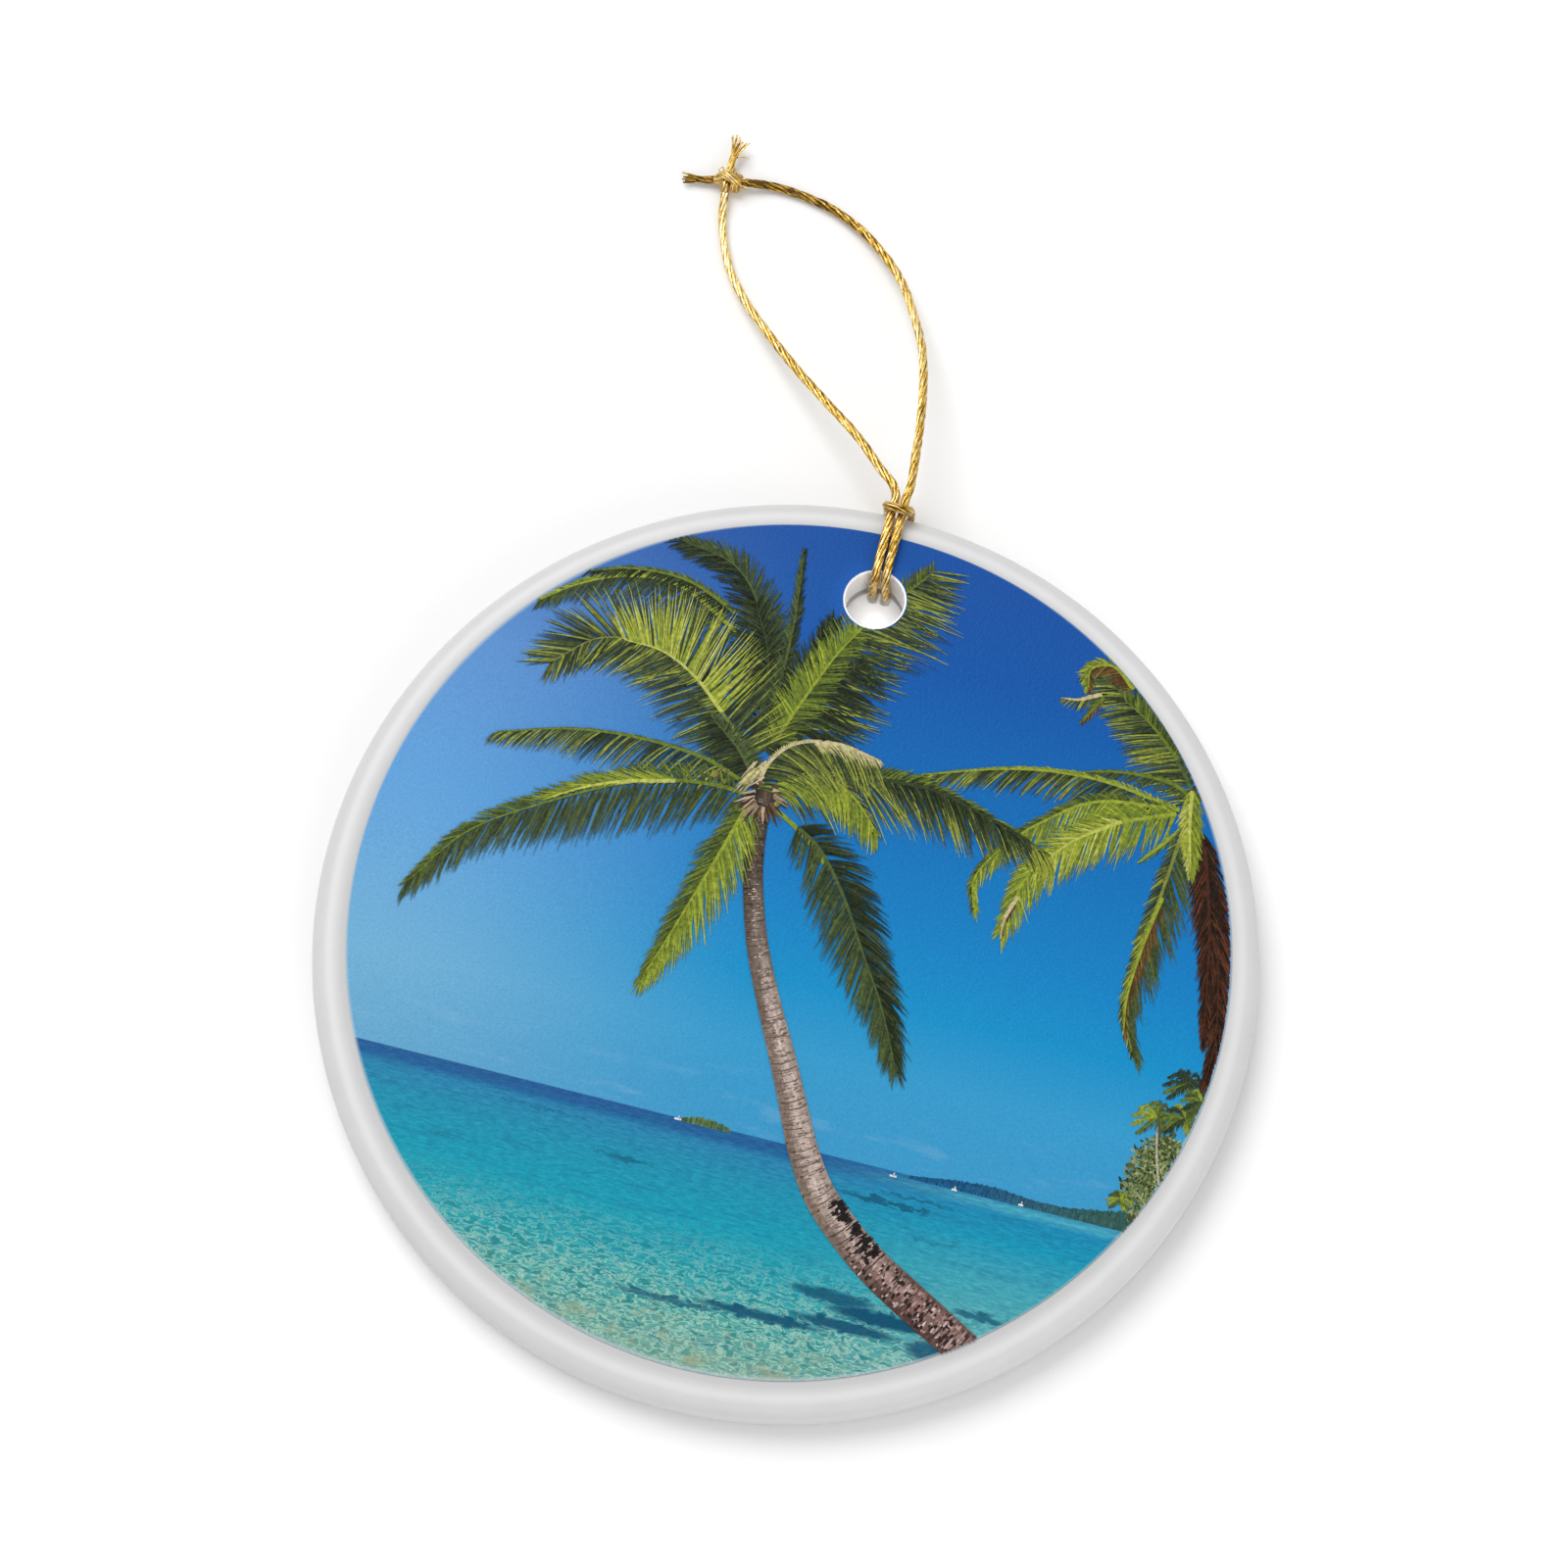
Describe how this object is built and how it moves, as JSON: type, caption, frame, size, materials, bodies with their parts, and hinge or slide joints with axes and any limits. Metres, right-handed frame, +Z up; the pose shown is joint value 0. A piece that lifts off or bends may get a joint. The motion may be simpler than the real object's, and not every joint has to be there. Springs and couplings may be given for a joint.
{
  "type": "souvenir christmas ornament",
  "caption": "Flat round glazed ceramic ornament with a printed beach picture on its face and a thin gold hanging cord hitched through the hole near its edge, knotted into a loop.",
  "frame": {"origin": "on the surface that the ornament lies on, under the centre of the ceramic disc", "axes": "+Z up out of the printed face; +Y from the disc's centre towards the hole and the hanging loop; +X to the right as the face is read"},
  "size_m": [0.07, 0.0999, 0.0062],
  "materials": {
    "glazed_ceramic": "white glaze, semi-gloss",
    "picture_print": null,
    "gold_cord": "metallic gold thread, twisted"
  },
  "bodies": {
    "disc": {"ceramic_disc": "glazed_ceramic", "picture_transfer": "picture_print"},
    "hitch": {"hitch_cord": "gold_cord"},
    "loop": {"loop_left_leg": "gold_cord", "loop_right_leg": "gold_cord", "top_knot": "gold_cord", "frayed_tail_up": "gold_cord", "frayed_tail_side": "gold_cord"}
  },
  "joints": [
    {"name": "hitch_swing", "type": "hinge", "parent": "disc", "child": "hitch", "pos_m": [0, 0.02764, 0.00087], "axis": [0, -0.014, 0.9999], "range_deg": [-10, 10]},
    {"name": "loop_fold", "type": "hinge", "parent": "hitch", "child": "loop", "pos_m": [0, 0.03644, 0.00509], "axis": [1, 0, 0], "range_deg": [-85, 120]}
  ]
}
